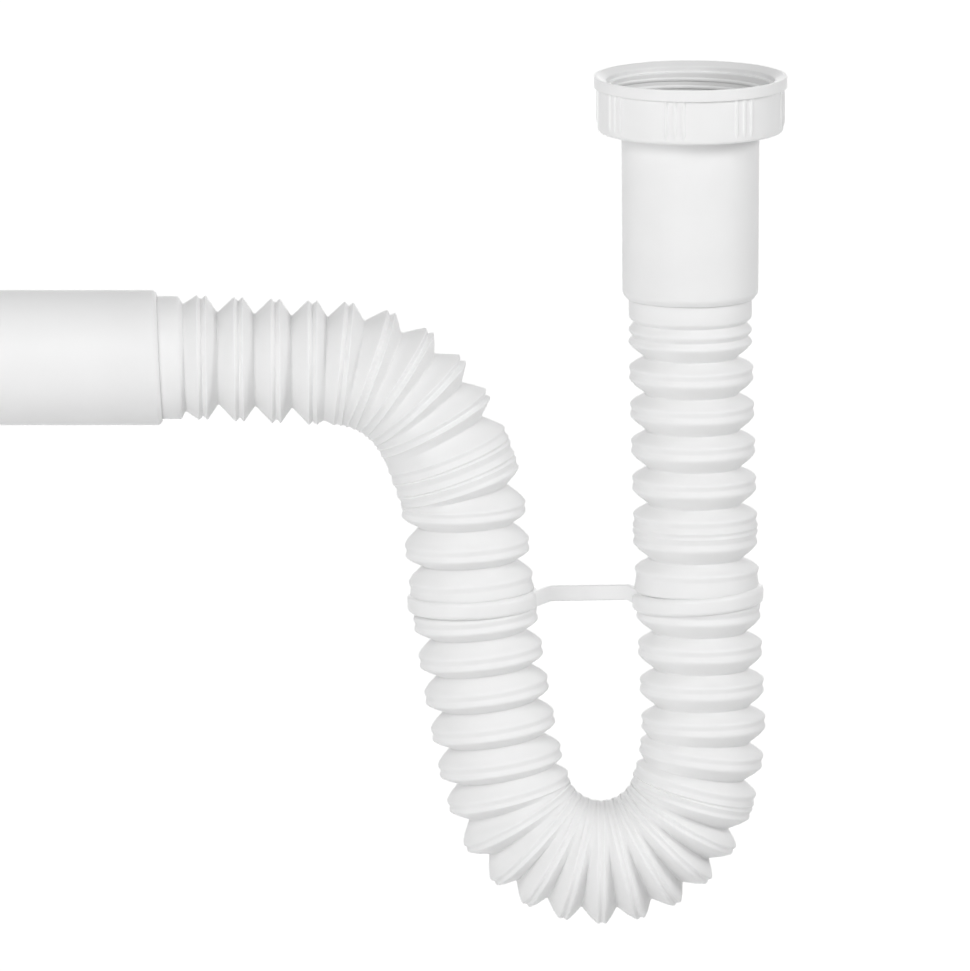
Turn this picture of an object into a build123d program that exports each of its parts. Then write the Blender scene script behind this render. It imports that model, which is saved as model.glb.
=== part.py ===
"""Extendable waste connector, set as a trap: union nut, washer, inlet sleeve, bellows hose, clip and outlet spigot.

Millimetres. The origin is on the nut's axis where its thread starts, +Z is up along the inlet, the hose lies in the
XZ plane and the outlet leaves along -X.
"""
from build123d import *
import os
from math import cos, radians, sin

os.makedirs("parts", exist_ok=True)

# Union nut: a G 1 1/2 parallel thread, a thin top flange and grip ribs in groups
THREAD_RADIUS = 23.9
THREAD_LENGTH = 6.2
MOUTH_STEP = 0.9
MOUTH_DEPTH = 2.8
NUT_WALL = 3.6
NUT_FLANGE_STEP = 1.1
NUT_FLANGE_HEIGHT = 3.5
NUT_RELIEF = 0.5
NUT_LIP_HEIGHT = 2.5
NUT_BOTTOM_BEVEL = 1.2
RIB_GROUPS = 8
RIBS_IN_GROUP = 3
RIB_STEP_ANGLE = 5.5
RIB_GROUP_ANGLE = -100
RIB_WIDTH = 1.0
RIB_DEPTH = 0.5
RIB_PROUD = 0.35

# Outlet spigot: the 40 mm push-in tube, with a socket for the hose's cuff
SPIGOT_RADIUS = 20.0
SPIGOT_LENGTH = 60.0
SPIGOT_WALL = 2.7
SPIGOT_SOCKET_WALL = 1.7
SPIGOT_END_BEVEL = 1.0

# Inlet sleeve: a flange inside the nut and a slightly tapered tube, with a socket for the hose's other cuff
SLEEVE_LENGTH = 54.6
SLEEVE_WALL = 3.1
SLEEVE_SOCKET_WALL = 1.8
SLEEVE_TAPER = 0.3
SLEEVE_FLANGE_HEIGHT = 2.0
SLEEVE_END_BEVEL = 1.0

# Sealing washer, as wide as the sleeve's flange
WASHER_HEIGHT = 2.5
WASHER_WIDTH = 4.5

# Bellows hose: crests, grooves, and a plain cuff past a short neck at each end
CREST_RADIUS = 18.2
GROOVE_DEPTH = 4.7
CLOSED_GROOVE_DEPTH = 3.2
HOSE_WALL = 1.2
LONG_CONE_SHARE = 0.575
CUFF_DEPTH = 16.0
CUFF_SHOWN = 5.9
NECK_DEPTH = 1.8
NECK_LENGTH = 4.2
NECK_CUFF_STEP = 1.2

# The hose's folds from inlet to outlet, chosen by eye: (folds, spacing of crests, turn in degrees and sidestep at each
# fold). Turns and sidesteps to the left of the way along the hose are positive. Folds closer than the closed spacing
# are pushed shut.
CLOSED_SPACING = 6.0
BORE_TURN = 20.0
HOSE_RUNS = [
    (5, 11.0, 0.0, 0.3),
    (1, 5.2, 0.0, 0.0),
    (5, 11.1, 0.0, 0.5),
    (2, 9.5, -7.5, 0.0),
    (1, 3.9, -2.0, 0.0),
    (8, 7.1, -14.5, 0.0),
    (2, 8.0, -16.5, 0.0),
    (1, 9.8, -4.5, 0.6),
    (6, 10.8, -1.0, 0.4),
    (1, 11.7, -1.0, 0.5),
    (1, 7.8, 16.0, 0.0),
    (2, 4.6, 1.5, 0.0),
    (1, 10.1, 7.0, 0.0),
    (4, 8.3, 14.0, 0.0),
    (1, 9.0, 5.5, 0.0),
    (3, 11.0, 0.0, -0.5),
]

# Clip: a flat moulding, a snap ring in one groove of each leg, counted in folds from the inlet, and a bar between them
CLIP_RIGHT_FOLD = 8
CLIP_LEFT_FOLD = 30
CLIP_GRIP = 1.1
CLIP_RING_WALL = 2.4
CLIP_HEIGHT = 4.2
CLIP_CHAMFER = 1.0
CLIP_MOUTH_ANGLE = 90
CLIP_STRUT_ANGLE = 28
CLIP_BAR_LENGTH = 23.5
CLIP_BAR_WIDTH = 2.4
CLIP_BAR_BACK = 4.5

# Clearances
NUT_CLEARANCE = 0.35
FLANGE_CLEARANCE = 1.6
WASHER_CLEARANCE = 0.2
SOCKET_CLEARANCE = 0.1

# Radii that fit one another, from the spigot's standard size inwards and from the thread's outwards
spigot_bore_radius = SPIGOT_RADIUS - SPIGOT_WALL
socket_radius = SPIGOT_RADIUS - SPIGOT_SOCKET_WALL
cuff_radius = socket_radius - SOCKET_CLEARANCE
neck_radius = cuff_radius - NECK_DEPTH
groove_radius = CREST_RADIUS - GROOVE_DEPTH
closed_groove_radius = CREST_RADIUS - CLOSED_GROOVE_DEPTH
sleeve_bottom_radius = socket_radius + SLEEVE_SOCKET_WALL
sleeve_top_radius = sleeve_bottom_radius + SLEEVE_TAPER
sleeve_bore_radius = sleeve_top_radius - SLEEVE_WALL
flange_radius = THREAD_RADIUS - FLANGE_CLEARANCE
mouth_radius = THREAD_RADIUS + MOUTH_STEP
nut_radius = THREAD_RADIUS + NUT_WALL
nut_flange_radius = nut_radius + NUT_FLANGE_STEP

# Heights along the inlet axis, from the nut's mouth down
nut_flange_bottom = MOUTH_DEPTH - NUT_FLANGE_HEIGHT
thread_bottom = -THREAD_LENGTH
washer_top = thread_bottom - WASHER_CLEARANCE
sleeve_top = washer_top - WASHER_HEIGHT
sleeve_flange_bottom = sleeve_top - SLEEVE_FLANGE_HEIGHT
nut_lip_top = sleeve_flange_bottom - NUT_CLEARANCE
nut_bottom = nut_lip_top - NUT_LIP_HEIGHT
sleeve_bottom = sleeve_top - SLEEVE_LENGTH
socket_depth = CUFF_DEPTH + SOCKET_CLEARANCE


def onward(place, distance, turn=0.0, sidestep=0.0):
    """The place (x, z, heading) after a distance along an arc that turns by so many degrees, and a step to its left."""
    x, z, heading = place
    chord = radians(heading + turn / 2)
    x += distance * cos(chord) - sidestep * sin(chord)
    z += distance * sin(chord) + sidestep * cos(chord)
    return (x, z, heading + turn)


def across(place):
    """The plane across the hose at a place, with its normal along the hose and its x axis to the back."""
    x, z, heading = place
    return Plane(origin=(x, 0, z), x_dir=(0, 1, 0), z_dir=(cos(radians(heading)), 0, sin(radians(heading))))


# Union nut
with BuildPart() as union_nut:
    with BuildSketch(Plane.XZ):
        with BuildLine():
            Polyline(
                (mouth_radius, MOUTH_DEPTH),
                (nut_flange_radius, MOUTH_DEPTH),
                (nut_flange_radius, nut_flange_bottom),
                (nut_radius, nut_flange_bottom),
                (nut_radius, nut_bottom),
                (sleeve_top_radius + NUT_CLEARANCE, nut_bottom),
                (sleeve_top_radius + NUT_CLEARANCE, nut_lip_top),
                (THREAD_RADIUS + NUT_RELIEF, nut_lip_top),
                (THREAD_RADIUS + NUT_RELIEF, thread_bottom),
                (THREAD_RADIUS, thread_bottom),
                (THREAD_RADIUS, 0),
                (mouth_radius, 0),
                close=True,
            )
        make_face()
    revolve(axis=Axis.Z)
    bottom_edges = union_nut.edges().filter_by(GeomType.CIRCLE).group_by(Axis.Z)[0]
    chamfer(bottom_edges.sort_by(SortBy.RADIUS)[-1], length=NUT_BOTTOM_BEVEL)
    with BuildSketch(Plane.XY.offset(nut_bottom + NUT_BOTTOM_BEVEL)):
        for rib in range(RIBS_IN_GROUP):
            rib_angle = RIB_GROUP_ANGLE + (rib - (RIBS_IN_GROUP - 1) / 2) * RIB_STEP_ANGLE
            with PolarLocations(nut_radius - RIB_DEPTH, RIB_GROUPS, start_angle=rib_angle):
                Rectangle(RIB_DEPTH + RIB_PROUD, RIB_WIDTH, align=(Align.MIN, Align.CENTER))
    extrude(amount=nut_flange_bottom - nut_bottom - NUT_BOTTOM_BEVEL)
union_nut.part.label = "union_nut"
export_step(union_nut.part, "parts/union_nut.step")

# Sealing washer, on the sleeve's flange
with BuildPart() as sealing_washer:
    with BuildSketch(Plane.XY.offset(sleeve_top)):
        Circle(flange_radius)
        Circle(flange_radius - WASHER_WIDTH, mode=Mode.SUBTRACT)
    extrude(amount=WASHER_HEIGHT)
sealing_washer.part.label = "sealing_washer"
export_step(sealing_washer.part, "parts/sealing_washer.step")

# Inlet sleeve, with the socket for the hose's cuff in its lower end
with BuildPart() as inlet_sleeve:
    with BuildSketch(Plane.XZ):
        with BuildLine():
            Polyline(
                (sleeve_bore_radius, sleeve_top),
                (flange_radius, sleeve_top),
                (flange_radius, sleeve_flange_bottom),
                (sleeve_top_radius, sleeve_flange_bottom),
                (sleeve_bottom_radius, sleeve_bottom),
                (socket_radius, sleeve_bottom),
                (socket_radius, sleeve_bottom + socket_depth),
                (sleeve_bore_radius, sleeve_bottom + socket_depth),
                close=True,
            )
        make_face()
    revolve(axis=Axis.Z)
    bottom_edges = inlet_sleeve.edges().filter_by(GeomType.CIRCLE).group_by(Axis.Z)[0]
    chamfer(bottom_edges.sort_by(SortBy.RADIUS)[-1], length=SLEEVE_END_BEVEL)
inlet_sleeve.part.label = "inlet_sleeve"
export_step(inlet_sleeve.part, "parts/inlet_sleeve.step")

# Places along the hose, from cuff to cuff: the sections of its outside and of its bore, and its grooves. The bore has a
# section at the first groove, at the end of each run of open folds, and wherever the hose has turned far enough.
place = (0.0, sleeve_bottom - CUFF_SHOWN - NECK_CUFF_STEP - NECK_LENGTH, -90.0)
neck = onward(place, -NECK_LENGTH)
cuff_edge = onward(neck, -NECK_CUFF_STEP)
cuff_end = onward(cuff_edge, -CUFF_SHOWN - CUFF_DEPTH)
outside = [(cuff_end, cuff_radius), (cuff_edge, cuff_radius), (neck, neck_radius), (place, CREST_RADIUS)]
bore = [(cuff_end, neck_radius - HOSE_WALL), (neck, neck_radius - HOSE_WALL)]
grooves = []
bore_heading = 0.0
for folds, spacing, turn, sidestep in HOSE_RUNS:
    for fold in range(folds):
        long_cone = [size * LONG_CONE_SHARE for size in (spacing, turn, sidestep)]
        short_cone = [size * (1 - LONG_CONE_SHARE) for size in (spacing, turn, sidestep)]
        groove = onward(place, *long_cone)
        place = onward(groove, *short_cone)
        grooves.append(groove)
        is_open = spacing > CLOSED_SPACING
        outside.append((groove, groove_radius if is_open else closed_groove_radius))
        outside.append((place, CREST_RADIUS))
        if is_open and (fold == folds - 1 or abs(groove[2] - bore_heading) > BORE_TURN):
            bore.append((groove, groove_radius - HOSE_WALL))
            bore_heading = groove[2]
neck = onward(place, NECK_LENGTH)
cuff_edge = onward(neck, NECK_CUFF_STEP)
spigot_end = onward(cuff_edge, CUFF_SHOWN)
cuff_end = onward(spigot_end, CUFF_DEPTH)
outside += [(neck, neck_radius), (cuff_edge, cuff_radius), (cuff_end, cuff_radius)]
bore += [(neck, neck_radius - HOSE_WALL), (cuff_end, neck_radius - HOSE_WALL)]

# Hose: cones from crest to groove and on to the next crest, and the bore through the grooves
with BuildPart() as hose:
    for place, radius in outside:
        with BuildSketch(across(place)):
            Circle(radius)
    loft(ruled=True)
    for place, radius in bore:
        with BuildSketch(across(place)):
            Circle(radius)
    loft(ruled=True, mode=Mode.SUBTRACT)
hose.part.label = "hose"
export_step(hose.part, "parts/hose.step")

# Clip: the rings are open at the back to snap on, and struts run forward from the bar's ends to join them
left = Vector(grooves[CLIP_LEFT_FOLD - 1][0], 0, grooves[CLIP_LEFT_FOLD - 1][1])
right = Vector(grooves[CLIP_RIGHT_FOLD - 1][0], 0, grooves[CLIP_RIGHT_FOLD - 1][1])
clip_plane = Plane(origin=(left + right) / 2, x_dir=right - left, z_dir=(right - left).cross(Vector(0, 1, 0)))
ring_reach = (right - left).length / 2
ring_bore_radius = CREST_RADIUS - CLIP_GRIP
ring_radius = ring_bore_radius + CLIP_RING_WALL
strut_radius = ring_bore_radius + CLIP_RING_WALL / 2
strut_x = ring_reach - strut_radius * cos(radians(CLIP_STRUT_ANGLE))
strut_y = -strut_radius * sin(radians(CLIP_STRUT_ANGLE))
mouth_x = 2 * ring_radius * sin(radians(CLIP_MOUTH_ANGLE / 2))
mouth_y = 2 * ring_radius * cos(radians(CLIP_MOUTH_ANGLE / 2))
with BuildPart() as trap_clip:
    with BuildSketch(clip_plane):
        with Locations((-ring_reach, 0), (ring_reach, 0)):
            Circle(ring_radius)
            Circle(ring_bore_radius, mode=Mode.SUBTRACT)
            Polygon((0, 0), (mouth_x, mouth_y), (-mouth_x, mouth_y), align=None, mode=Mode.SUBTRACT)
    extrude(amount=CLIP_HEIGHT / 2, both=True)
    round_edges = trap_clip.edges().filter_by(GeomType.CIRCLE)
    chamfer(round_edges.group_by(SortBy.RADIUS)[-1], length=CLIP_CHAMFER)
    with BuildSketch(clip_plane):
        with BuildLine():
            Polyline(
                (-strut_x, strut_y),
                (-CLIP_BAR_LENGTH / 2, CLIP_BAR_BACK),
                (CLIP_BAR_LENGTH / 2, CLIP_BAR_BACK),
                (strut_x, strut_y),
            )
        trace(line_width=CLIP_BAR_WIDTH)
        with Locations((-ring_reach, 0), (ring_reach, 0)):
            Circle(ring_bore_radius, mode=Mode.SUBTRACT)
    extrude(amount=CLIP_HEIGHT / 2, both=True)
trap_clip.part.label = "trap_clip"
export_step(trap_clip.part, "parts/trap_clip.step")

# Outlet spigot, with the socket for the hose's other cuff
with BuildPart() as outlet_spigot:
    with BuildSketch(across(spigot_end)):
        Circle(SPIGOT_RADIUS)
        Circle(spigot_bore_radius, mode=Mode.SUBTRACT)
    extrude(amount=SPIGOT_LENGTH)
    with BuildSketch(across(spigot_end)):
        Circle(socket_radius)
    extrude(amount=socket_depth, mode=Mode.SUBTRACT)
    outer_edges = outlet_spigot.edges().filter_by(GeomType.CIRCLE).group_by(SortBy.RADIUS)[-1]
    chamfer(outer_edges, length=SPIGOT_END_BEVEL)
outlet_spigot.part.label = "outlet_spigot"
export_step(outlet_spigot.part, "parts/outlet_spigot.step")
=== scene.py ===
"""Looks of the extendable waste connector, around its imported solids. Metres, in the part's own frame."""

from bisect import bisect_right
from math import cos, pi, radians, sin

import bpy
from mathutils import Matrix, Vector


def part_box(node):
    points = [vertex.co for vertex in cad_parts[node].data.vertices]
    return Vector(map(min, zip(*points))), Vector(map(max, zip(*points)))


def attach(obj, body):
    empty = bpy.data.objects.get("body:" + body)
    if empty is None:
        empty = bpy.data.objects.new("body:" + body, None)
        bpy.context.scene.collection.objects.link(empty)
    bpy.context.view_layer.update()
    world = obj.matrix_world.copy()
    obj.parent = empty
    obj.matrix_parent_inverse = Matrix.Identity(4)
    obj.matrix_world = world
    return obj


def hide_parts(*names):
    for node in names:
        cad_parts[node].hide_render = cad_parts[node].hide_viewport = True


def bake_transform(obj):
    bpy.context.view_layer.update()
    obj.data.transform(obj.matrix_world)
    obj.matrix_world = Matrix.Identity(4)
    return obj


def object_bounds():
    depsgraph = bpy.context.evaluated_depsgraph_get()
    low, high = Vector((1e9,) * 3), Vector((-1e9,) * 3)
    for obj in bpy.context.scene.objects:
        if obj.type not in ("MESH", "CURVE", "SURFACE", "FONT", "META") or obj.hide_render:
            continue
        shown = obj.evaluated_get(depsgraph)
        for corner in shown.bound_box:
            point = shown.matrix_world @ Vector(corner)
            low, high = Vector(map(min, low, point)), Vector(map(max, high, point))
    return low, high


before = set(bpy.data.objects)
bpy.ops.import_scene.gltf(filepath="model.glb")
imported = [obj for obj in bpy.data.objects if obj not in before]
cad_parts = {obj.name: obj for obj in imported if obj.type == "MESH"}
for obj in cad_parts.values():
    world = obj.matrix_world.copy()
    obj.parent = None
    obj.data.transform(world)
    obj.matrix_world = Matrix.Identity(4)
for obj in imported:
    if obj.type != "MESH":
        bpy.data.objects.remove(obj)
cad_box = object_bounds()

# Inlet sleeve: the smooth tube that hangs from the nut by a flange inside it and takes the hose's cuff in its
# lower end. It is injection moulded in white polypropylene, with a slight draft and softly rounded edges.
MM = 0.001
SLEEVE_TOP_RADIUS = 20.4 * MM
SLEEVE_BOTTOM_RADIUS = 20.1 * MM
SLEEVE_BORE_RADIUS = 17.3 * MM
SLEEVE_FLANGE_HEIGHT = 2.0 * MM
SLEEVE_END_BEVEL = 1.7 * MM
SLEEVE_END_INSET = 1.2 * MM
TUBE_END_ROUND = 0.8 * MM
SOCKET_RADIUS = 18.3 * MM
SOCKET_DEPTH = 16.1 * MM
MOULDED_EDGE = 0.4 * MM
TURNED_SIDES = 144
CURVE_STEPS = 4
SUPPORT = 1.6
ROUNDING_SHARE = 0.4
SUPPORT_SHARE = 0.5
PINCH_BEGINS = -0.45
PINCH_FULL = 0.65
MERGE_DISTANCE = 0.001 * MM
WAXY_DEPTH = 2.5 * MM
GLOSS_SPREAD = 0.04
GRAIN_DEPTH = 0.1 * MM
GRAIN_STRENGTH = 0.06
POLYPROPYLENE_IOR = 1.49


def add(tree, kind, inputs=(), **settings):
    """Adds a node with its settings, and its inputs as values or links, and gives its outputs."""
    made = tree.nodes.new(kind)
    for name, value in settings.items():
        setattr(made, name, value)
    for socket, value in dict(inputs).items():
        if isinstance(value, bpy.types.NodeSocket):
            tree.links.new(value, made.inputs[socket])
        else:
            made.inputs[socket].default_value = value
    return made.outputs


def new_tree(name, **inputs):
    """A Geometry Nodes tree with these named inputs and one geometry output, and its input node's outputs."""
    tree = bpy.data.node_groups.new(name, "GeometryNodeTree")
    for socket, kind in inputs.items():
        tree.interface.new_socket(socket, in_out="INPUT", socket_type="NodeSocket" + kind)
    tree.interface.new_socket("Result", in_out="OUTPUT", socket_type="NodeSocketGeometry")
    return tree, add(tree, "NodeGroupInput")


def end_tree(tree, geometry, finish):
    """Ends a tree: smooth, with no instances left, and in its material."""
    smooth = add(tree, "GeometryNodeSetShadeSmooth", {"Geometry": geometry})[0]
    real = add(tree, "GeometryNodeRealizeInstances", {"Geometry": smooth})[0]
    painted = add(tree, "GeometryNodeSetMaterial", {"Geometry": real, "Material": finish})[0]
    add(tree, "NodeGroupOutput", {0: painted})
    return tree


def ring_skin_tree():
    """Lays a skin over a row of rings: each incoming point is a ring's centre, with its radius and heading,
    and how much its radius grows on one side, where a bend pinches the groove shut."""
    tree, given = new_tree("ring_skin", Rings="Geometry", Sides="Int", Finish="Material")
    rings = add(tree, "GeometryNodeAttributeDomainSize", {0: given["Rings"]})["Point Count"]
    columns = add(tree, "FunctionNodeIntegerMath", {0: given["Sides"], 1: 1}, operation="ADD")[0]
    grid = add(tree, "GeometryNodeMeshGrid", {"Vertices X": rings, "Vertices Y": columns})["Mesh"]
    index = add(tree, "GeometryNodeInputIndex")[0]
    ring = add(tree, "FunctionNodeIntegerMath", {0: index, 1: columns}, operation="DIVIDE_FLOOR")[0]
    side = add(tree, "FunctionNodeIntegerMath", {0: index, 1: columns}, operation="MODULO")[0]
    share = add(tree, "ShaderNodeMath", {0: side, 1: given["Sides"]}, operation="DIVIDE")[0]
    angle = add(tree, "ShaderNodeMath", {0: share, 1: 2 * pi}, operation="MULTIPLY")[0]
    position = add(tree, "GeometryNodeInputPosition")[0]
    of_ring = {"Geometry": given["Rings"], "Index": ring}
    centre = add(tree, "GeometryNodeSampleIndex", {**of_ring, 1: position}, data_type="FLOAT_VECTOR")[0]
    sampled = []
    for name in ("radius", "heading", "pinch"):
        attribute = add(tree, "GeometryNodeInputNamedAttribute", {"Name": name})[0]
        sampled.append(add(tree, "GeometryNodeSampleIndex", {**of_ring, 1: attribute})[0])
    plain_radius, heading, pinch = sampled
    cosine = add(tree, "ShaderNodeMath", {0: angle}, operation="COSINE")[0]
    sine = add(tree, "ShaderNodeMath", {0: angle}, operation="SINE")[0]
    pinched_side = add(tree, "ShaderNodeMath", {0: pinch}, operation="SIGN")[0]
    nearness = add(tree, "ShaderNodeMath", {0: cosine, 1: pinched_side}, operation="MULTIPLY")[0]
    growth = add(tree, "ShaderNodeMapRange", {0: nearness, 1: PINCH_BEGINS, 2: PINCH_FULL},
                 interpolation_type="SMOOTHSTEP")[0]
    amount = add(tree, "ShaderNodeMath", {0: pinch}, operation="ABSOLUTE")[0]
    radius = add(tree, "ShaderNodeMath", {0: amount, 1: growth, 2: plain_radius},
                 operation="MULTIPLY_ADD")[0]
    left = add(tree, "ShaderNodeMath", {0: radius, 1: cosine}, operation="MULTIPLY")[0]
    back = add(tree, "ShaderNodeMath", {0: radius, 1: sine}, operation="MULTIPLY")[0]
    rise = add(tree, "ShaderNodeMath", {0: heading}, operation="COSINE")[0]
    lean = add(tree, "ShaderNodeMath", {0: heading}, operation="SINE")[0]
    up = add(tree, "ShaderNodeMath", {0: left, 1: rise}, operation="MULTIPLY")[0]
    over = add(tree, "ShaderNodeMath", {0: left, 1: lean}, operation="MULTIPLY")[0]
    aside = add(tree, "ShaderNodeMath", {0: over, 1: -1.0}, operation="MULTIPLY")[0]
    offset = add(tree, "ShaderNodeCombineXYZ", {0: aside, 1: back, 2: up})[0]
    placed = add(tree, "GeometryNodeSetPosition",
                 {"Geometry": grid, "Position": centre, "Offset": offset})[0]
    known = add(tree, "GeometryNodeStoreNamedAttribute",
                {0: placed, "Name": "ring_radius", "Value": radius})[0]
    closed = add(tree, "GeometryNodeMergeByDistance", {"Geometry": known, "Distance": MERGE_DISTANCE})[0]
    return end_tree(tree, closed, given["Finish"])


def grown(piece, tree, sizes):
    """Runs a Geometry Nodes tree on a piece and keeps what it makes as the piece's plain mesh."""
    modifier = piece.modifiers.new(tree.name, "NODES")
    modifier.node_group = tree
    for socket in tree.interface.items_tree:
        if socket.name in sizes:
            modifier[socket.identifier] = sizes[socket.name]
    made = piece.evaluated_get(bpy.context.evaluated_depsgraph_get())
    mesh = bpy.data.meshes.new_from_object(made)
    mesh.name = piece.name
    piece.modifiers.clear()
    piece.data = mesh
    return piece


def new_piece(name, points, edges=()):
    """A piece at the origin, with only its points and edges so far."""
    mesh = bpy.data.meshes.new(name)
    mesh.from_pydata(points, edges, [])
    piece = bpy.data.objects.new(name, mesh)
    bpy.context.scene.collection.objects.link(piece)
    return piece


def rounded(corners, closed=True, support=0.0, steps=CURVE_STEPS):
    """An outline through (along, radius, rounding) corners, each turned into a short curve of that reach.
    With support, a point is added further along each side that has room, so that flat faces shade flat."""
    outline = []
    for number, (along, radius, rounding) in enumerate(corners):
        corner = Vector((along, radius))
        before = Vector(corners[number - 1][:2]) - corner
        after = Vector(corners[(number + 1) % len(corners)][:2]) - corner
        if not rounding:
            outline.append(tuple(corner))
            continue
        reach = min(rounding, ROUNDING_SHARE * before.length, ROUNDING_SHARE * after.length)
        start = before.normalized() * reach
        end = after.normalized() * reach
        if support and reach * support < SUPPORT_SHARE * before.length:
            outline.append(tuple(corner + start * support))
        for step in range(steps + 1):
            share = step / steps
            outline.append(tuple(corner + start * (1 - share) ** 2 + end * share ** 2))
        if support and reach * support < SUPPORT_SHARE * after.length:
            outline.append(tuple(corner + end * support))
    return outline + outline[:1] if closed else outline


def skin(name, outline, path, finish, sides=TURNED_SIDES, pinches=None):
    """A piece made of rings along a path: the outline gives (distance along the path, radius) for each ring,
    and the pinches how much each grows on one side, if any do."""
    places = [path(along) for along, _ in outline]
    piece = new_piece(name, [(x, 0, z) for x, z, _ in places])
    ring_values = {
        "radius": [radius for _, radius in outline],
        "heading": [radians(heading) for _, _, heading in places],
        "pinch": pinches or [0.0] * len(outline),
    }
    for attribute, values in ring_values.items():
        piece.data.attributes.new(attribute, "FLOAT", "POINT").data.foreach_set("value", values)
    return grown(piece, RING_SKIN, {"Sides": sides, "Finish": finish})


def down_the_inlet(along):
    """The place (x, z, heading) so far below the nut's thread, on the inlet's axis."""
    return (0.0, -along, -90.0)


def linear(colour):
    """The linear RGBA of an sRGB hex colour."""
    channels = [int(colour[i:i + 2], 16) / 255 for i in (1, 3, 5)]
    return [c / 12.92 if c <= 0.04045 else ((c + 0.055) / 1.055) ** 2.4 for c in channels] + [1.0]


def polypropylene(name, pale, dull, cloud, grain, roughness, waxy=0.3):
    """White polypropylene, moulded: a smooth, slightly waxy skin with a broad soft gloss. Faint clouds of two
    whites come from how the melt flowed, and a fine grain from the mould, drawn coarser than real to show."""
    material = bpy.data.materials.new(name)
    material.use_nodes = True
    tree = material.node_tree
    shader = tree.nodes["Principled BSDF"].inputs
    place = add(tree, "ShaderNodeTexCoord")["Object"]
    clouds = add(tree, "ShaderNodeTexNoise", {"Vector": place, "Scale": 1 / cloud, "Detail": 3.0})[0]
    tint = add(tree, "ShaderNodeMix", {0: clouds, 6: linear(dull), 7: linear(pale)}, data_type="RGBA")[2]
    speckle = add(tree, "ShaderNodeTexNoise", {"Vector": place, "Scale": 1 / grain, "Detail": 2.0})[0]
    gloss = add(tree, "ShaderNodeMapRange",
                {0: clouds, 3: roughness - GLOSS_SPREAD, 4: roughness + GLOSS_SPREAD})[0]
    bump = add(tree, "ShaderNodeBump",
               {"Strength": GRAIN_STRENGTH, "Distance": GRAIN_DEPTH, "Height": speckle})[0]
    tree.links.new(tint, shader["Base Color"])
    tree.links.new(gloss, shader["Roughness"])
    tree.links.new(bump, shader["Normal"])
    shader["IOR"].default_value = POLYPROPYLENE_IOR
    shader["Subsurface Weight"].default_value = waxy
    shader["Subsurface Radius"].default_value = (1.0, 1.0, 1.0)
    shader["Subsurface Scale"].default_value = WAXY_DEPTH
    return material


RING_SKIN = ring_skin_tree()
tube_finish = polypropylene("polypropylene_tube", "#f4f4f4", "#f0f0f0", 14 * MM, 0.4 * MM, 0.52)
sleeve_low, sleeve_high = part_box("inlet_sleeve")
sleeve_top, sleeve_bottom = -sleeve_high.z, -sleeve_low.z
sleeve_outline = rounded([
    (sleeve_top, SLEEVE_BORE_RADIUS, MOULDED_EDGE),
    (sleeve_top, sleeve_high.x, MOULDED_EDGE),
    (sleeve_top + SLEEVE_FLANGE_HEIGHT, sleeve_high.x, MOULDED_EDGE),
    (sleeve_top + SLEEVE_FLANGE_HEIGHT, SLEEVE_TOP_RADIUS, MOULDED_EDGE),
    (sleeve_bottom - SLEEVE_END_BEVEL, SLEEVE_BOTTOM_RADIUS, TUBE_END_ROUND),
    (sleeve_bottom, SLEEVE_BOTTOM_RADIUS - SLEEVE_END_INSET, TUBE_END_ROUND),
    (sleeve_bottom, SOCKET_RADIUS, MOULDED_EDGE),
    (sleeve_bottom - SOCKET_DEPTH, SOCKET_RADIUS, MOULDED_EDGE),
    (sleeve_bottom - SOCKET_DEPTH, SLEEVE_BORE_RADIUS, MOULDED_EDGE),
], support=SUPPORT)
sleeve = skin("sleeve", sleeve_outline, down_the_inlet, tube_finish)
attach(sleeve, "inlet")
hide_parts("inlet_sleeve")

# Union nut: the hand nut that draws the sleeve up to the sink's waste. It is moulded in polypropylene, with a
# thin top flange, upright grip ribs in groups of three and a low right-hand thread inside its mouth.
NUT_RADIUS = 27.5 * MM
NUT_FLANGE_HEIGHT = 3.5 * MM
NUT_BOTTOM_ROUND = 1.2 * MM
NUT_TOP_ROUND = 0.25 * MM
RIM_WIDTH = 0.9 * MM
MOUTH_SLOPE_DEPTH = 1.3 * MM
NUT_LIP_HEIGHT = 2.5 * MM
NUT_LIP_RADIUS = 20.75 * MM
NUT_RELIEF_RADIUS = 24.4 * MM
THREAD_RADIUS = 23.9 * MM
THREAD_LENGTH = 6.2 * MM
THREAD_PITCH = 2.309 * MM
THREAD_HEIGHT = 0.4 * MM
THREAD_SINK = 0.15 * MM
THREAD_ROOT_WIDTH = 2.1 * MM
THREAD_CREST_WIDTH = 0.4 * MM
THREAD_ROUND = 0.12 * MM
THREAD_STEPS = 96
THREAD_ROUND_STEPS = 3
THREAD_FADE_BEGINS = 0.42
THREAD_END_SHARE = 0.2
MOUTH_RADIUS = 24.8 * MM
RIB_GROUPS = 8
RIBS_IN_GROUP = 3
RIB_STEP_ANGLE = 5.5
RIB_GROUP_ANGLE = -100.0
RIB_RADIUS = 0.75 * MM
RIB_PROUD = 0.4 * MM
RIB_SIDES = 20
RIB_STATIONS = 16
RIB_FADE_BEGINS = 0.8
RIB_END_SHARE = 0.35
RIB_FOOT_SHARE = 0.6


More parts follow.
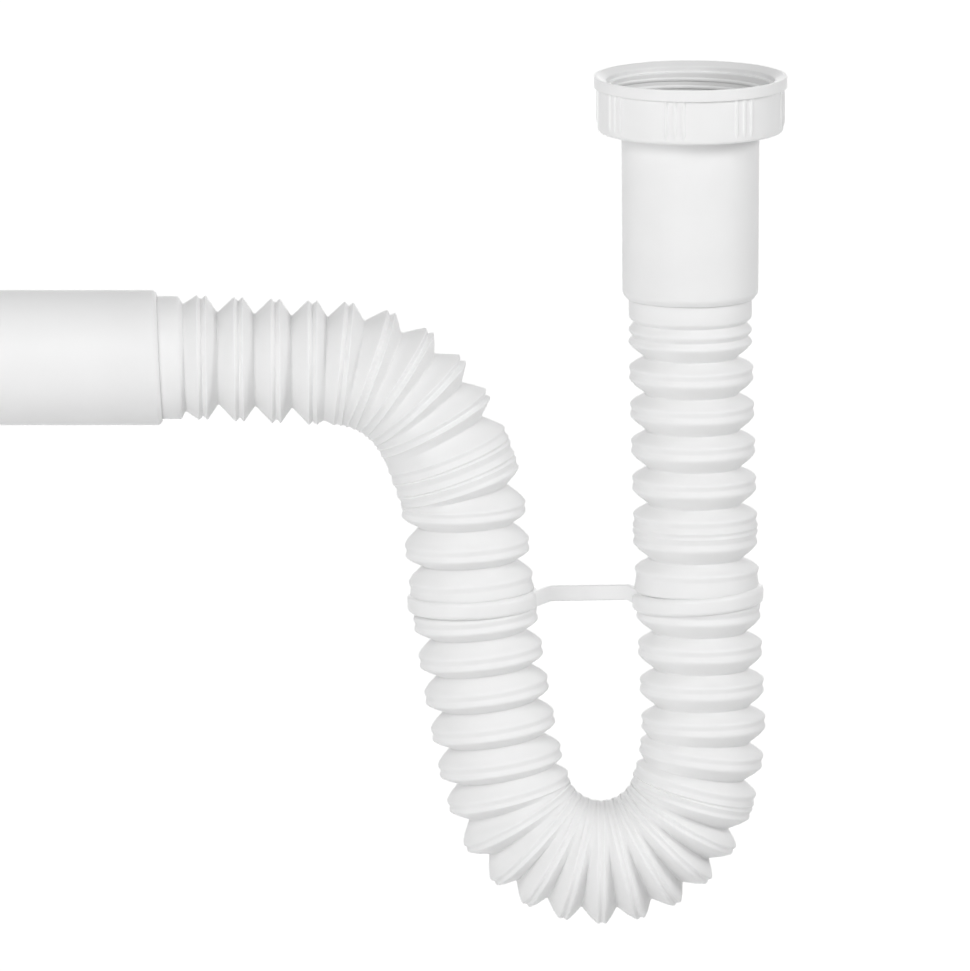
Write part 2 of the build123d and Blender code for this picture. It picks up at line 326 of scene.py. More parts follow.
def grip_rib_tree():
    """Upright half-sunk ribs round the nut, in even groups, each fading out at its lower end."""
    tree, given = new_tree(
        "grip_ribs", Start="Geometry", Groups="Int", Ribs="Int", Step="Float", Turn="Float", Reach="Float",
        Top="Float", Bottom="Float", Thickness="Float", Finish="Material",
    )
    count = add(tree, "FunctionNodeIntegerMath", {0: given["Groups"], 1: given["Ribs"]},
                operation="MULTIPLY")[0]
    index = add(tree, "GeometryNodeInputIndex")[0]
    group = add(tree, "FunctionNodeIntegerMath", {0: index, 1: given["Ribs"]}, operation="DIVIDE_FLOOR")[0]
    rib = add(tree, "FunctionNodeIntegerMath", {0: index, 1: given["Ribs"]}, operation="MODULO")[0]
    share = add(tree, "ShaderNodeMath", {0: group, 1: given["Groups"]}, operation="DIVIDE")[0]
    turn = add(tree, "ShaderNodeMath", {0: share, 1: 2 * pi, 2: given["Turn"]}, operation="MULTIPLY_ADD")[0]
    angle = add(tree, "ShaderNodeMath", {0: rib, 1: given["Step"], 2: turn}, operation="MULTIPLY_ADD")[0]
    cosine = add(tree, "ShaderNodeMath", {0: angle}, operation="COSINE")[0]
    sine = add(tree, "ShaderNodeMath", {0: angle}, operation="SINE")[0]
    x = add(tree, "ShaderNodeMath", {0: cosine, 1: given["Reach"]}, operation="MULTIPLY")[0]
    y = add(tree, "ShaderNodeMath", {0: sine, 1: given["Reach"]}, operation="MULTIPLY")[0]
    spot = add(tree, "ShaderNodeCombineXYZ", {0: x, 1: y})[0]
    points = add(tree, "GeometryNodePoints", {"Count": count, "Position": spot})[0]
    top = add(tree, "ShaderNodeCombineXYZ", {2: given["Top"]})[0]
    bottom = add(tree, "ShaderNodeCombineXYZ", {2: given["Bottom"]})[0]
    line = add(tree, "GeometryNodeCurvePrimitiveLine", {"Start": top, "End": bottom})[0]
    stations = add(tree, "GeometryNodeResampleCurve", {"Curve": line, "Count": RIB_STATIONS})[0]
    along = add(tree, "GeometryNodeSplineParameter")["Factor"]
    fade = add(tree, "ShaderNodeMapRange", {0: along, 1: RIB_FADE_BEGINS, 2: 1.0, 3: 1.0, 4: RIB_END_SHARE},
               interpolation_type="SMOOTHSTEP")[0]
    section = add(tree, "GeometryNodeCurvePrimitiveCircle",
                  {"Resolution": RIB_SIDES, "Radius": given["Thickness"]})[0]
    bar = add(tree, "GeometryNodeCurveToMesh",
              {"Curve": stations, "Profile Curve": section, "Scale": fade, "Fill Caps": True})[0]
    ribs = add(tree, "GeometryNodeInstanceOnPoints", {"Points": points, "Instance": bar})[0]
    return end_tree(tree, ribs, given["Finish"])


def thread_tree():
    """A thread's ridge: a trapezium, its narrow side inwards, swept up a right-hand helix and thinning out at
    both ends."""
    tree, given = new_tree(
        "thread_ridge", Start="Geometry", Turns="Float", Reach="Float", Rise="Float", Height="Float",
        Root="Float", Crest="Float", Round="Float", Bottom="Float", Finish="Material",
    )
    helix = add(tree, "GeometryNodeCurveSpiral", {
        "Resolution": THREAD_STEPS, "Rotations": given["Turns"], "Height": given["Rise"], "Reverse": True,
        "Start Radius": given["Reach"], "End Radius": given["Reach"],
    })[0]
    upright = add(tree, "GeometryNodeSetCurveNormal", {"Curve": helix}, mode="Z_UP")[0]
    section = add(tree, "GeometryNodeCurvePrimitiveQuadrilateral", {
        "Bottom Width": given["Root"], "Top Width": given["Crest"], "Height": given["Height"],
        "Offset": 0.0,
    }, mode="TRAPEZOID")[0]
    soft = add(tree, "GeometryNodeFilletCurve",
               {"Curve": section, "Count": THREAD_ROUND_STEPS, "Radius": given["Round"]}, mode="POLY")[0]
    inward = add(tree, "GeometryNodeTransform", {"Geometry": soft, "Rotation": (0, 0, pi / 2)})[0]
    along = add(tree, "GeometryNodeSplineParameter")["Factor"]
    middle = add(tree, "ShaderNodeMath", {0: along, 1: 0.5}, operation="SUBTRACT")[0]
    from_middle = add(tree, "ShaderNodeMath", {0: middle}, operation="ABSOLUTE")[0]
    fade = add(tree, "ShaderNodeMapRange",
               {0: from_middle, 1: THREAD_FADE_BEGINS, 2: 0.5, 3: 1.0, 4: THREAD_END_SHARE},
               interpolation_type="SMOOTHSTEP")[0]
    ridge = add(tree, "GeometryNodeCurveToMesh",
                {"Curve": upright, "Profile Curve": inward, "Scale": fade, "Fill Caps": True})[0]
    foot = add(tree, "ShaderNodeCombineXYZ", {2: given["Bottom"]})[0]
    placed = add(tree, "GeometryNodeTransform", {"Geometry": ridge, "Translation": foot})[0]
    return end_tree(tree, placed, given["Finish"])


# No waxy depth here: with it the nut's front comes out darker than the photograph's
nut_finish = polypropylene("polypropylene_nut", "#f4f4f4", "#efefef", 9 * MM, 0.4 * MM, 0.4, waxy=0.0)
nut_low, nut_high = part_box("union_nut")
nut_top, nut_bottom = -nut_high.z, -nut_low.z
nut_outline = rounded([
    (nut_top + MOUTH_SLOPE_DEPTH, MOUTH_RADIUS, MOULDED_EDGE),
    (nut_top, nut_high.x - RIM_WIDTH, NUT_TOP_ROUND),
    (nut_top, nut_high.x, NUT_TOP_ROUND),
    (nut_top + NUT_FLANGE_HEIGHT, nut_high.x, MOULDED_EDGE),
    (nut_top + NUT_FLANGE_HEIGHT, NUT_RADIUS, MOULDED_EDGE),
    (nut_bottom, NUT_RADIUS, NUT_BOTTOM_ROUND),
    (nut_bottom, NUT_LIP_RADIUS, MOULDED_EDGE),
    (nut_bottom - NUT_LIP_HEIGHT, NUT_LIP_RADIUS, MOULDED_EDGE),
    (nut_bottom - NUT_LIP_HEIGHT, NUT_RELIEF_RADIUS, MOULDED_EDGE),
    (THREAD_LENGTH, NUT_RELIEF_RADIUS, MOULDED_EDGE),
    (THREAD_LENGTH, THREAD_RADIUS, MOULDED_EDGE),
    (0, THREAD_RADIUS, MOULDED_EDGE),
    (0, MOUTH_RADIUS, MOULDED_EDGE),
], support=SUPPORT)
nut = skin("nut", nut_outline, down_the_inlet, nut_finish)
ribs = grown(new_piece("nut_ribs", [(0, 0, 0)]), grip_rib_tree(), {
    "Groups": RIB_GROUPS, "Ribs": RIBS_IN_GROUP, "Step": radians(RIB_STEP_ANGLE),
    "Turn": radians(RIB_GROUP_ANGLE - RIB_STEP_ANGLE * (RIBS_IN_GROUP - 1) / 2),
    "Reach": NUT_RADIUS + RIB_PROUD - RIB_RADIUS, "Top": nut_high.z - NUT_FLANGE_HEIGHT + MOULDED_EDGE,
    "Bottom": nut_low.z + NUT_BOTTOM_ROUND * RIB_FOOT_SHARE, "Thickness": RIB_RADIUS, "Finish": nut_finish,
})
thread_turns = (THREAD_LENGTH - THREAD_ROOT_WIDTH) / THREAD_PITCH
thread = grown(new_piece("nut_thread", [(0, 0, 0)]), thread_tree(), {
    "Turns": thread_turns, "Rise": THREAD_PITCH * thread_turns,
    "Reach": THREAD_RADIUS - THREAD_HEIGHT / 2 + THREAD_SINK, "Height": THREAD_HEIGHT,
    "Root": THREAD_ROOT_WIDTH, "Crest": THREAD_CREST_WIDTH, "Round": THREAD_ROUND,
    "Bottom": -THREAD_LENGTH + THREAD_ROOT_WIDTH / 2, "Finish": nut_finish,
})
for piece in (nut, ribs, thread):
    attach(piece, "nut")
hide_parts("union_nut")

# Sealing washer: the flat rubber ring that the nut presses between the sleeve's flange and the sink's waste.
# It is cut from black moulded rubber sheet and lies loose on the flange.
WASHER_EDGE = 0.3 * MM
WASHER_WIDTH = 4.5 * MM
RUBBER_DUST = 3 * MM
RUBBER_GRAIN = 0.5 * MM
RUBBER_GRAIN_DEPTH = 0.1 * MM
RUBBER_GRAIN_STRENGTH = 0.2
RUBBER_ROUGHNESS = 0.72
RUBBER_IOR = 1.52


def washer_rubber():
    """Black moulded rubber: dull, with a fine dusty mottle and a matt grain."""
    material = bpy.data.materials.new("moulded_rubber")
    material.use_nodes = True
    tree = material.node_tree
    shader = tree.nodes["Principled BSDF"].inputs
    place = add(tree, "ShaderNodeTexCoord")["Object"]
    dust = add(tree, "ShaderNodeTexNoise", {"Vector": place, "Scale": 1 / RUBBER_DUST, "Detail": 5.0})[0]
    tint = add(tree, "ShaderNodeMix", {0: dust, 6: linear("#1c1c1c"), 7: linear("#2a2a29")},
               data_type="RGBA")[2]
    grain = add(tree, "ShaderNodeTexNoise", {"Vector": place, "Scale": 1 / RUBBER_GRAIN, "Detail": 3.0})[0]
    bump = add(tree, "ShaderNodeBump",
               {"Strength": RUBBER_GRAIN_STRENGTH, "Distance": RUBBER_GRAIN_DEPTH, "Height": grain})[0]
    tree.links.new(tint, shader["Base Color"])
    tree.links.new(bump, shader["Normal"])
    shader["Roughness"].default_value = RUBBER_ROUGHNESS
    shader["IOR"].default_value = RUBBER_IOR
    return material


washer_low, washer_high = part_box("sealing_washer")
washer_outline = rounded([
    (-washer_high.z, washer_high.x - WASHER_WIDTH, WASHER_EDGE),
    (-washer_high.z, washer_high.x, WASHER_EDGE),
    (-washer_low.z, washer_high.x, WASHER_EDGE),
    (-washer_low.z, washer_high.x - WASHER_WIDTH, WASHER_EDGE),
], support=SUPPORT)
washer = skin("washer", washer_outline, down_the_inlet, washer_rubber())
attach(washer, "inlet")
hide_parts("sealing_washer")

# Bellows hose: one blow-moulded polypropylene hose, with plain cuffs and folds that click open or shut. Each
# crest is a pair of ridges with a notch between. It is pushed into the sleeve and the spigot, and made here in
# two lengths that meet under the clip.
CREST_RADIUS = 18.2 * MM
GROOVE_RADIUS = 13.5 * MM
CLOSED_GROOVE_RADIUS = 18.15 * MM
HOSE_WALL = 0.9 * MM
LONG_CONE_SHARE = 0.575
CLOSED_CONE_SHARE = 0.5
CUFF_RADIUS = 18.2 * MM
CUFF_DEPTH = 16.0 * MM
CUFF_SHOWN = 5.9 * MM
CUFF_ROUND = 0.8 * MM
NECK_RADIUS = 16.4 * MM
NECK_LENGTH = 4.2 * MM
NECK_CUFF_STEP = 1.2 * MM
RIDGE_SETBACK = 1.75 * MM
CRISP_SETBACK = 1.25 * MM
RIDGE_SHARE = 0.45
RIDGE_RADIUS = 18.55 * MM
RIDGE_ROUND = 0.8 * MM
END_RIDGE_SETBACK = 1.8 * MM
SHOULDER_RADIUS = 18.55 * MM
SHOULDER_ROUND = 1.2 * MM
NOTCH_RADIUS = 17.9 * MM
BULGE = 0.45 * MM
BULGE_TURN = 10.0
BULGE_SHARE = 0.6
END_NOTCH_RADIUS = 16.9 * MM
NOTCH_ROUND = 0.4 * MM
GROOVE_ROUND = 0.6 * MM
CLOSED_SPACING = 6.0 * MM
HOSE_SIDES = 92
OUTLET_NECK_LENGTH = 5.3 * MM
OUTLET_NECK_RADIUS = 15.8 * MM
OUTLET_LEAN = 1.0
OUTLET_LEAN_REACH = 45 * MM
MOUTH_LEAN = 2.7
PINCH_RADIUS = 18.0 * MM
TRAP_PINCH_TURN = 12.0
ELBOW_PINCH_TURN = 7.0
CRISP_FOLDS = 9
CRISP_RIDGE_RADIUS = 18.5 * MM
CRISP_ROUND = 0.35 * MM
CRISP_NOTCH_RADIUS = 17.2 * MM
PRESSED_SETBACK_RIGHT = 4.9 * MM
PRESSED_SETBACK_LEFT = 3.2 * MM
CLIP_RIGHT_FOLD = 8
CLIP_LEFT_FOLD = 30
OUTLET_RUN_CRESTS = 5
INSIDE_CURVE_STEPS = 2
# How far the painted shade in the hose's grooves goes towards the darker white
GROOVE_PAINTED_SHADE = 0.35

# The folds from inlet to outlet, in runs: how many folds, the spacing of their crests in mm, and the turn in
# degrees and the sidestep in mm at each fold
HOSE_RUNS = [
    (5, 11.0, 0.0, 0.3),
    (1, 5.2, 0.0, 0.0),
    (5, 11.1, 0.0, 0.5),
    (2, 9.5, -7.5, 0.0),
    (1, 3.9, -2.0, 0.0),
    (8, 7.1, -14.5, 0.0),
    (2, 8.0, -16.5, 0.0),
    (1, 9.8, -4.5, 0.6),
    (6, 10.8, -1.0, 0.4),
    (1, 11.7, -1.0, 0.5),
    (1, 7.8, 16.0, 0.0),
    (2, 4.6, 1.5, 0.0),
    (1, 10.1, 7.0, 0.0),
    (4, 8.3, 14.0, 0.0),
    (1, 9.0, 5.5, 0.0),
    (3, 10.9, 0.0, -0.5),
]


def onward(place, distance, turn=0.0, sidestep=0.0):
    """The place (x, z, heading) after an arc of that length and turn in degrees, and a step to its left."""
    x, z, heading = place
    chord = radians(heading + turn / 2)
    x += distance * cos(chord) - sidestep * sin(chord)
    z += distance * sin(chord) + sidestep * cos(chord)
    return (x, z, heading + turn)


hose_folds = [fold for folds, *fold in HOSE_RUNS for repeat in range(folds)]
cuff_length = NECK_LENGTH + NECK_CUFF_STEP + CUFF_SHOWN + CUFF_DEPTH
crest = (0.0, sleeve_low.z - CUFF_SHOWN - NECK_CUFF_STEP - NECK_LENGTH, -90.0)
along = 0.0
stations = [
    (-cuff_length, *onward(crest, -cuff_length)),
    (-END_RIDGE_SETBACK, *onward(crest, -END_RIDGE_SETBACK)),
]
crest_alongs = [along]
groove_alongs = []
setbacks = []
for number, (spacing, turn, sidestep) in enumerate(hose_folds, 1):
    widest = CRISP_SETBACK if number > len(hose_folds) - CRISP_FOLDS else RIDGE_SETBACK
    setback = min(widest, RIDGE_SHARE * (spacing * MM - CREST_RADIUS * abs(radians(turn))))
    first_setback = PRESSED_SETBACK_RIGHT if number == CLIP_RIGHT_FOLD else setback
    last_setback = PRESSED_SETBACK_LEFT if number == CLIP_LEFT_FOLD else setback
    share = CLOSED_CONE_SHARE if spacing * MM < CLOSED_SPACING else LONG_CONE_SHARE
    long_cone = [spacing * MM * share, turn * share, sidestep * MM * share]
    short_cone = [spacing * MM - long_cone[0], turn - long_cone[1], sidestep * MM - long_cone[2]]
    groove = onward(crest, *long_cone)
    next_crest = onward(groove, *short_cone)
    groove_along = along + long_cone[0]
    stations.append((along + first_setback, *onward(crest, first_setback)))
    along += spacing * MM
    crest = next_crest
    stations.append((groove_along, *groove))
    stations.append((along - last_setback, *onward(crest, -last_setback)))
    setbacks.append((first_setback, last_setback))
    groove_alongs.append(groove_along)
    crest_alongs.append(along)
hose_end = along
stations.append((hose_end + cuff_length, *onward(crest, cuff_length)))
station_alongs = [station[0] for station in stations]


def along_the_hose(along):
    """The place (x, z, heading) so far along the hose from its first crest. The ridges of a crest keep to the
    crest's own plane, so a bend closes the grooves on its inner side and opens them on its outer side."""
    number = min(max(bisect_right(station_alongs, along), 1), len(stations) - 1)
    start, *before = stations[number - 1]
    end, *after = stations[number]
    share = (along - start) / (end - start)
    x, z, heading = [first + (second - first) * share for first, second in zip(before, after)]
    lean = OUTLET_LEAN * min(max(1 - (hose_end - along) / OUTLET_LEAN_REACH, 0), 1)
    mouth_share = min(max((along - hose_end) / (OUTLET_NECK_LENGTH + NECK_CUFF_STEP + CUFF_SHOWN), 0), 1)
    return (x, z, heading + lean + (MOUTH_LEAN - OUTLET_LEAN) * mouth_share)


def pinch_of_hose(along, radius, shut_radius):
    """How much a ring grows on a bend's inner side, signed for the side, so that the fold is shut there."""
    fold = bisect_right(crest_alongs, along) - 1
    if not 0 <= fold < len(hose_folds):
        return 0.0
    turn = hose_folds[fold][1]
    share = min(max(turn / (ELBOW_PINCH_TURN if turn > 0 else TRAP_PINCH_TURN), -1), 1)
    return share * max(shut_radius - radius, 0)


def hose_finish():
    """White polypropylene, blown thin: duller than the moulded pieces, with painted shade that makes the
    folded-in grooves a touch darker than the crests."""
    material = polypropylene("polypropylene_hose", "#f4f4f4", "#f0f0f0", 7 * MM, 0.5 * MM, 0.55)
    tree = material.node_tree
    shader = tree.nodes["Principled BSDF"].inputs
    clouds = shader["Base Color"].links[0].from_socket
    radius = add(tree, "ShaderNodeAttribute", attribute_name="ring_radius")["Fac"]
    # Painted shade: the colour darkens towards the grooves, where shade falls between the folds
    depth = add(tree, "ShaderNodeMapRange",
                {0: radius, 1: GROOVE_RADIUS, 2: CREST_RADIUS, 3: GROOVE_PAINTED_SHADE, 4: 0.0})[0]
    tint = add(tree, "ShaderNodeMix", {0: depth, 6: clouds, 7: linear("#ebebeb")}, data_type="RGBA")[2]
    tree.links.new(tint, shader["Base Color"])
    return material


outside = [
    (-cuff_length, CUFF_RADIUS, 0),
    (-NECK_LENGTH - NECK_CUFF_STEP, CUFF_RADIUS, CUFF_ROUND),
    (-NECK_LENGTH, NECK_RADIUS, NOTCH_ROUND),
    (-END_RIDGE_SETBACK, SHOULDER_RADIUS, SHOULDER_ROUND),
    (0, END_NOTCH_RADIUS, NOTCH_ROUND),
]
inside = [
    (-cuff_length, NECK_RADIUS - HOSE_WALL, 0),
    (-NECK_LENGTH, NECK_RADIUS - HOSE_WALL, NOTCH_ROUND),
]
for number, groove in enumerate(groove_alongs):
    crest, next_crest = crest_alongs[number], crest_alongs[number + 1]
    closed = next_crest - crest < CLOSED_SPACING
    groove_radius = CLOSED_GROOVE_RADIUS if closed else GROOVE_RADIUS
    crisp = number >= len(groove_alongs) - CRISP_FOLDS
    ridge = (CRISP_RIDGE_RADIUS, CRISP_ROUND) if crisp else (RIDGE_RADIUS, RIDGE_ROUND)
    shoulder = (CRISP_RIDGE_RADIUS, CRISP_ROUND) if crisp else (SHOULDER_RADIUS, SHOULDER_ROUND)
    ridge_at, shoulder_at = crest + setbacks[number][0], next_crest - setbacks[number][1]
    bulge = 0 if crisp or closed else BULGE / (1 + abs(hose_folds[number][1]) / BULGE_TURN)
    bulge_radius = groove_radius + (ridge[0] - groove_radius) * BULGE_SHARE + bulge
    outside += [
        (ridge_at, *ridge),
        (groove + (ridge_at - groove) * BULGE_SHARE, bulge_radius, 0),
        (groove, groove_radius, GROOVE_ROUND),
        (groove + (shoulder_at - groove) * BULGE_SHARE, bulge_radius, 0),
        (shoulder_at, *shoulder),
        (next_crest, CRISP_NOTCH_RADIUS if crisp else NOTCH_RADIUS, NOTCH_ROUND),
    ]
    inside += [
        (crest, CRISP_NOTCH_RADIUS - HOSE_WALL, RIDGE_SETBACK),
        (groove, groove_radius - HOSE_WALL, GROOVE_ROUND),
    ]
outside += [
    (hose_end + CRISP_SETBACK, CRISP_RIDGE_RADIUS, CRISP_ROUND),
    (hose_end + OUTLET_NECK_LENGTH, OUTLET_NECK_RADIUS, NOTCH_ROUND),
    (hose_end + OUTLET_NECK_LENGTH + NECK_CUFF_STEP, CUFF_RADIUS, CUFF_ROUND),
    (hose_end + cuff_length, CUFF_RADIUS, 0),
]
inside += [
    (hose_end, CRISP_NOTCH_RADIUS - HOSE_WALL, RIDGE_SETBACK),
    (hose_end + OUTLET_NECK_LENGTH, OUTLET_NECK_RADIUS - HOSE_WALL, NOTCH_ROUND),
    (hose_end + cuff_length, OUTLET_NECK_RADIUS - HOSE_WALL, 0),
]
outside = rounded(outside, closed=False)
inside = rounded(inside, closed=False, steps=INSIDE_CURVE_STEPS)


def cut_at(outline, along):
    """An outline's parts before and after its point nearest to a distance along the hose. Both hold it."""
    nearest = min(range(len(outline)), key=lambda number: abs(outline[number][0] - along))
    return outline[:nearest + 1], outline[nearest:]


def hose_length(name, out, back, finish):
    """A length of hose as one closed wall, from its outer and inner outlines."""
    wall = out + back[::-1] + out[:1]
    shut_radii = [PINCH_RADIUS] * len(out) + [PINCH_RADIUS - HOSE_WALL] * len(back) + [PINCH_RADIUS]
    pinches = [pinch_of_hose(*ring, shut_radius) for ring, shut_radius in zip(wall, shut_radii)]
    return skin(name, wall, along_the_hose, finish, HOSE_SIDES, pinches)


clip_groove = groove_alongs[CLIP_RIGHT_FOLD - 1]
outside_of_inlet_leg, outside_of_trap = cut_at(outside, clip_groove)
inside_of_inlet_leg, inside_of_trap = cut_at(inside, clip_groove)
blown = hose_finish()
inlet_leg = hose_length("hose_inlet_leg", outside_of_inlet_leg, inside_of_inlet_leg, blown)
trap_leg = hose_length("hose_trap", outside_of_trap, inside_of_trap, blown)
stretch_top = along_the_hose(-NECK_LENGTH)
stretch_bottom = along_the_hose(crest_alongs[CLIP_RIGHT_FOLD - 1])
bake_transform(inlet_leg)
run_start = along_the_hose(crest_alongs[-OUTLET_RUN_CRESTS])
run_end = along_the_hose(hose_end + OUTLET_NECK_LENGTH)
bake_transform(trap_leg)
for piece in (inlet_leg, trap_leg):
    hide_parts("hose")

# Trap clip: the moulded polypropylene clip that holds the two legs together. A snap ring, open at the back,
# sits in one groove of each leg, and struts run back from the rings to a straight bar between the legs.
CLIP_RING_RADIUS = 17.9 * MM
CLIP_RING_WALL = 3.2 * MM
CLIP_RING_HEIGHT = 5.3 * MM
CLIP_BAR_HEIGHT = 4.6 * MM
CLIP_LEFT_TILT = -2.5
CLIP_RIGHT_TILT = 3.5
CLIP_ROUND = 1.4 * MM
CLIP_TIP = 1.0
CLIP_RING_DROP = 0.6 * MM
CLIP_BAR_WALL = 2.6 * MM
CLIP_BAR_ROUND = 0.45 * MM
CLIP_BAR_SHIFT = 1.1 * MM
CLIP_MOUTH_ANGLE = 90.0
CLIP_STRUT_ANGLE = 50.0
CLIP_BAR_LENGTH = 23.5 * MM
CLIP_BAR_BACK = 2.0 * MM
CLIP_BAR_LIFT = 1.2 * MM
CLIP_RING_STEPS = 72
CLIP_ROUND_STEPS = 6


def strip_tree():
    """A moulded strip: a rounded rectangle swept along the incoming run of edges."""
    tree, given = new_tree(
        "moulded_strip", Runs="Geometry", Wall="Float", Height="Float", Round="Float", Finish="Material",
    )
    runs = add(tree, "GeometryNodeMeshToCurve", {0: given["Runs"]})[0]
    upright = add(tree, "GeometryNodeSetCurveNormal", {"Curve": runs}, mode="Z_UP")[0]
    box = add(tree, "GeometryNodeCurvePrimitiveQuadrilateral",
              {"Width": given["Wall"], "Height": given["Height"]})[0]
    section = add(tree, "GeometryNodeFilletCurve",
                  {"Curve": box, "Count": CLIP_ROUND_STEPS, "Radius": given["Round"]}, mode="POLY")[0]
    strips = add(tree, "GeometryNodeCurveToMesh",
                 {"Curve": upright, "Profile Curve": section, "Fill Caps": True})[0]
    return end_tree(tree, strips, given["Finish"])


MOULDED_STRIP = strip_tree()
clip_finish = polypropylene("polypropylene_clip", "#f4f4f4", "#efefef", 8 * MM, 0.4 * MM, 0.38)


def clip_strip(name, points, wall, height, rounding):
    """A strip of the clip along a run of points."""
    edges = [(step, step + 1) for step in range(len(points) - 1)]
    strip = grown(new_piece(name, points, edges), MOULDED_STRIP, {
        "Wall": wall, "Height": height, "Round": rounding, "Finish": clip_finish,
    })
    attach(strip, "trap")
    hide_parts("trap_clip")


def clip_ring(fold, tilt):
    """A ring's middle and its direction to the right, a little askew in the hose's groove."""
    x, z, heading = along_the_hose(groove_alongs[fold - 1])
    slope = radians((heading if heading < -180 else heading + 180) + 270 + tilt)
    return Vector((x, 0, z - CLIP_RING_DROP)), Vector((cos(slope), 0, sin(slope)))


clip_back = Vector((0, cos(radians(CLIP_TIP)), sin(radians(CLIP_TIP))))
left_middle, left_right = clip_ring(CLIP_LEFT_FOLD, CLIP_LEFT_TILT)
right_middle, right_right = clip_ring(CLIP_RIGHT_FOLD, CLIP_RIGHT_TILT)
for name, middle, right in (("left", left_middle, left_right), ("right", right_middle, right_right)):
    ring = []
    for step in range(CLIP_RING_STEPS + 1):
        angle = radians(90 + CLIP_MOUTH_ANGLE / 2 + (360 - CLIP_MOUTH_ANGLE) * step / CLIP_RING_STEPS)
        ring.append(middle + (right * cos(angle) + clip_back * sin(angle)) * CLIP_RING_RADIUS)
    clip_strip("clip_ring_" + name, ring, CLIP_RING_WALL, CLIP_RING_HEIGHT, CLIP_ROUND)
strut_reach = CLIP_RING_RADIUS * cos(radians(CLIP_STRUT_ANGLE))
strut_forward = CLIP_RING_RADIUS * sin(radians(CLIP_STRUT_ANGLE))
clip_across = (right_middle - left_middle).normalized()
bar_middle = (left_middle + right_middle) / 2 + clip_across * CLIP_BAR_SHIFT + clip_back * CLIP_BAR_BACK
bar_middle.z += CLIP_BAR_LIFT
bar_half = clip_across * CLIP_BAR_LENGTH / 2
clip_strip("clip_bar", [
    left_middle + left_right * strut_reach - clip_back * strut_forward,
    bar_middle - bar_half,
    bar_middle + bar_half,
    right_middle - right_right * strut_reach - clip_back * strut_forward,
], CLIP_BAR_WALL, CLIP_BAR_HEIGHT, CLIP_BAR_ROUND)

# Outlet spigot: the plain tube that pushes into a waste pipe's seal, on the hose's other cuff. It is moulded
# in the same polypropylene as the sleeve, with a bevelled mouth round the cuff and a rounded tip.
SPIGOT_RADIUS = 20.0 * MM
SPIGOT_BORE_RADIUS = 17.3 * MM
SPIGOT_END_BEVEL = 1.0 * MM
SPIGOT_TIP_ROUND = 1.2 * MM
spigot_low, spigot_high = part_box("outlet_spigot")
outlet_height = (spigot_low.z + spigot_high.z) / 2
spigot_start = -spigot_high.x + SPIGOT_RADIUS * sin(radians(MOUTH_LEAN))


def along_the_outlet(along):
    """The place so far towards the outlet on its axis, from below the origin. Its mouth is a little askew."""
    askew = MOUTH_LEAN * max(1 - (along - spigot_start) / SOCKET_DEPTH, 0)
    return (-along, outlet_height, -180.0 + askew)


spigot_outline = rounded([
    (spigot_start, SOCKET_RADIUS, MOULDED_EDGE),
    (spigot_start, SPIGOT_RADIUS - SPIGOT_END_BEVEL, TUBE_END_ROUND),
    (spigot_start + SPIGOT_END_BEVEL, SPIGOT_RADIUS, TUBE_END_ROUND),
    (-spigot_low.x, SPIGOT_RADIUS, SPIGOT_TIP_ROUND),
    (-spigot_low.x, SPIGOT_BORE_RADIUS, MOULDED_EDGE),
    (spigot_start + SOCKET_DEPTH, SPIGOT_BORE_RADIUS, MOULDED_EDGE),
    (spigot_start + SOCKET_DEPTH, SOCKET_RADIUS, MOULDED_EDGE),
], support=SUPPORT)
spigot = skin("spigot", spigot_outline, along_the_outlet, tube_finish)
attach(spigot, "outlet")
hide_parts("outlet_spigot")

# Floor, light and camera: a pale floor well below the hanging trap, wide soft lights, the strongest from the
# front, and a long lens a little above the object, as in the photograph.
FLOOR_DROP = 0.9
FLOOR_SIZE = 24.0
FLOOR_FIBRE = 25 * MM
FLOOR_ROUGHNESS = 0.9
FLOOR_GLOW = 0.7
PHOTO_WIDTH = 286.6 * MM
PHOTO_MIDDLE = Vector((-60.6 * MM, 0, -119.9 * MM))
CAMERA_DISTANCE = 10.0
CAMERA_ELEVATION = 9.8
CAMERA_FAR = 100.0
SENSOR = 36.0
WORLD_LIGHT = 0.34
LIGHT_DISTANCE = 2.2

# The soft lights: (azimuth from the front to the right and elevation in degrees, size in metres, level)
SOFT_LIGHTS = {
    "key": (-16, 28, 0.7, 0.33),
    "front_fill": (-34, -10, 1.1, 0.175),
    "right_fill": (66, 26, 0.8, 0.32),
    "left_fill": (-85, 5, 1.2, 0.08),
    "back_fill": (180, 0, 1.2, 0.22),
}


def seen_directly(tree):
    """1 for what the camera sees directly, in a reflection or through something clear, and 0 for light."""
    ray = add(tree, "ShaderNodeLightPath")
    mirrored = add(tree, "ShaderNodeMath", {0: ray["Is Camera Ray"], 1: ray["Is Glossy Ray"]},
                   operation="MAXIMUM")[0]
    return add(tree, "ShaderNodeMath", {0: mirrored, 1: ray["Is Transmission Ray"]},
               operation="MAXIMUM")[0]


world = bpy.data.worlds.new("studio")
world.use_nodes = True
bpy.context.scene.world = world
tree = world.node_tree
strength = add(tree, "ShaderNodeMapRange", {0: seen_directly(tree), 3: WORLD_LIGHT, 4: 1.0})[0]
tree.links.new(strength, tree.nodes["Background"].inputs["Strength"])
tree.nodes["Background"].inputs["Color"].default_value = linear("#ffffff")

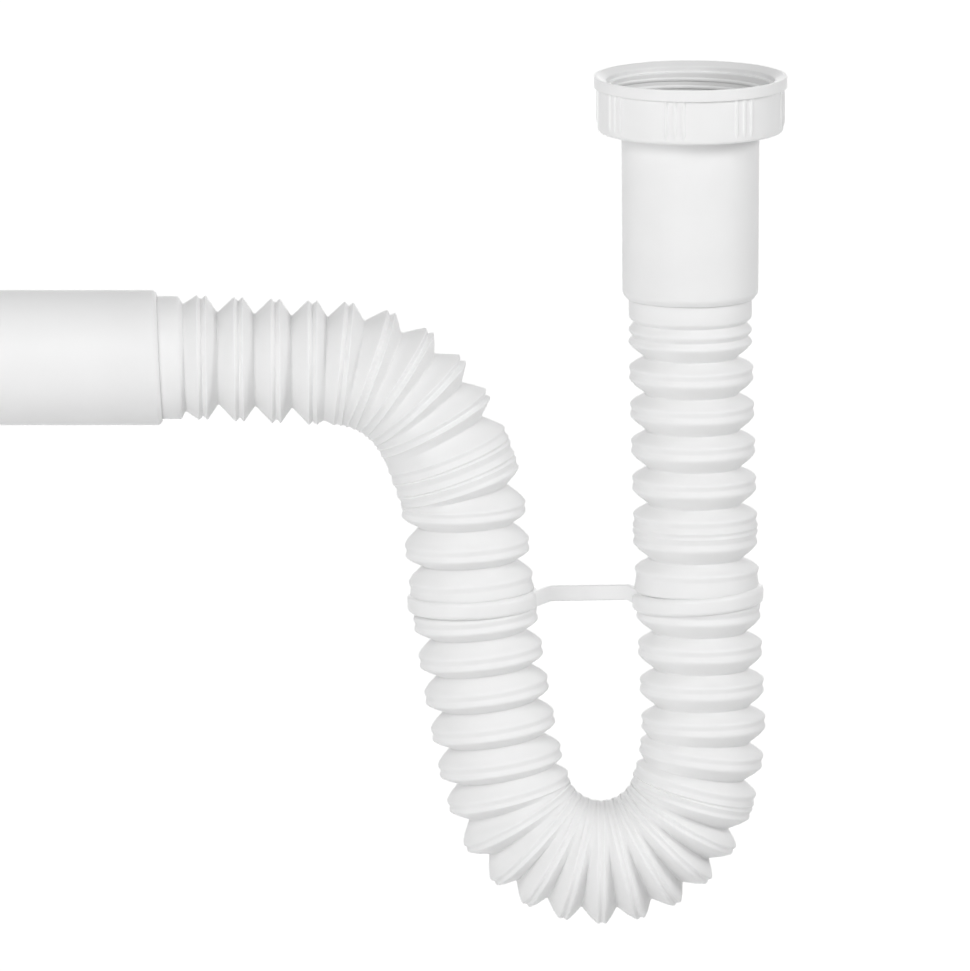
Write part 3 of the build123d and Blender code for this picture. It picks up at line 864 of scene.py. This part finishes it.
paper = bpy.data.materials.new("floor_paper")
paper.use_nodes = True
tree = paper.node_tree
shader = tree.nodes["Principled BSDF"].inputs
place = add(tree, "ShaderNodeTexCoord")["Object"]
fibres = add(tree, "ShaderNodeTexNoise", {"Vector": place, "Scale": 1 / FLOOR_FIBRE})[0]
tint = add(tree, "ShaderNodeMix", {0: fibres, 6: linear("#eeeeee"), 7: linear("#f3f3f3")},
           data_type="RGBA")[2]
tree.links.new(tint, shader["Base Color"])
shader["Roughness"].default_value = FLOOR_ROUGHNESS
shader["Emission Color"].default_value = linear("#ffffff")
glow = add(tree, "ShaderNodeMath", {0: seen_directly(tree), 1: FLOOR_GLOW}, operation="MULTIPLY")[0]
tree.links.new(glow, shader["Emission Strength"])
floor_height = cad_box[0].z - FLOOR_DROP
half = FLOOR_SIZE / 2
floor_corners = [
    (-half, -half, floor_height),
    (half, -half, floor_height),
    (half, half, floor_height),
    (-half, half, floor_height),
]
floor_mesh = bpy.data.meshes.new("floor")
floor_mesh.from_pydata(floor_corners, [], [(0, 1, 2, 3)])
floor_mesh.materials.append(paper)
floor = bpy.data.objects.new("floor", floor_mesh)
bpy.context.scene.collection.objects.link(floor)

for name, (azimuth, elevation, size, level) in SOFT_LIGHTS.items():
    lamp = bpy.data.lights.new(name, "AREA")
    lamp.size = size
    lamp.energy = level * (pi * LIGHT_DISTANCE) ** 2
    side, height = radians(azimuth), radians(elevation)
    towards = Vector((sin(side) * cos(height), -cos(side) * cos(height), sin(height)))
    stand = bpy.data.objects.new(name, lamp)
    stand.location = PHOTO_MIDDLE + towards * LIGHT_DISTANCE
    stand.rotation_euler = (-towards).to_track_quat("-Z", "Y").to_euler()
    stand.visible_camera = False
    bpy.context.scene.collection.objects.link(stand)

camera = bpy.data.cameras.new("camera")
camera.sensor_fit = "HORIZONTAL"
camera.sensor_width = SENSOR
camera.lens = SENSOR * CAMERA_DISTANCE / PHOTO_WIDTH
camera.clip_end = CAMERA_FAR
camera_stand = bpy.data.objects.new("camera", camera)
rise = radians(CAMERA_ELEVATION)
camera_stand.location = PHOTO_MIDDLE + Vector((0, -cos(rise), sin(rise))) * CAMERA_DISTANCE
camera_stand.rotation_euler = (pi / 2 - rise, 0, 0)
bpy.context.scene.collection.objects.link(camera_stand)
bpy.context.scene.camera = camera_stand
bpy.context.scene.view_settings.view_transform = "Standard"
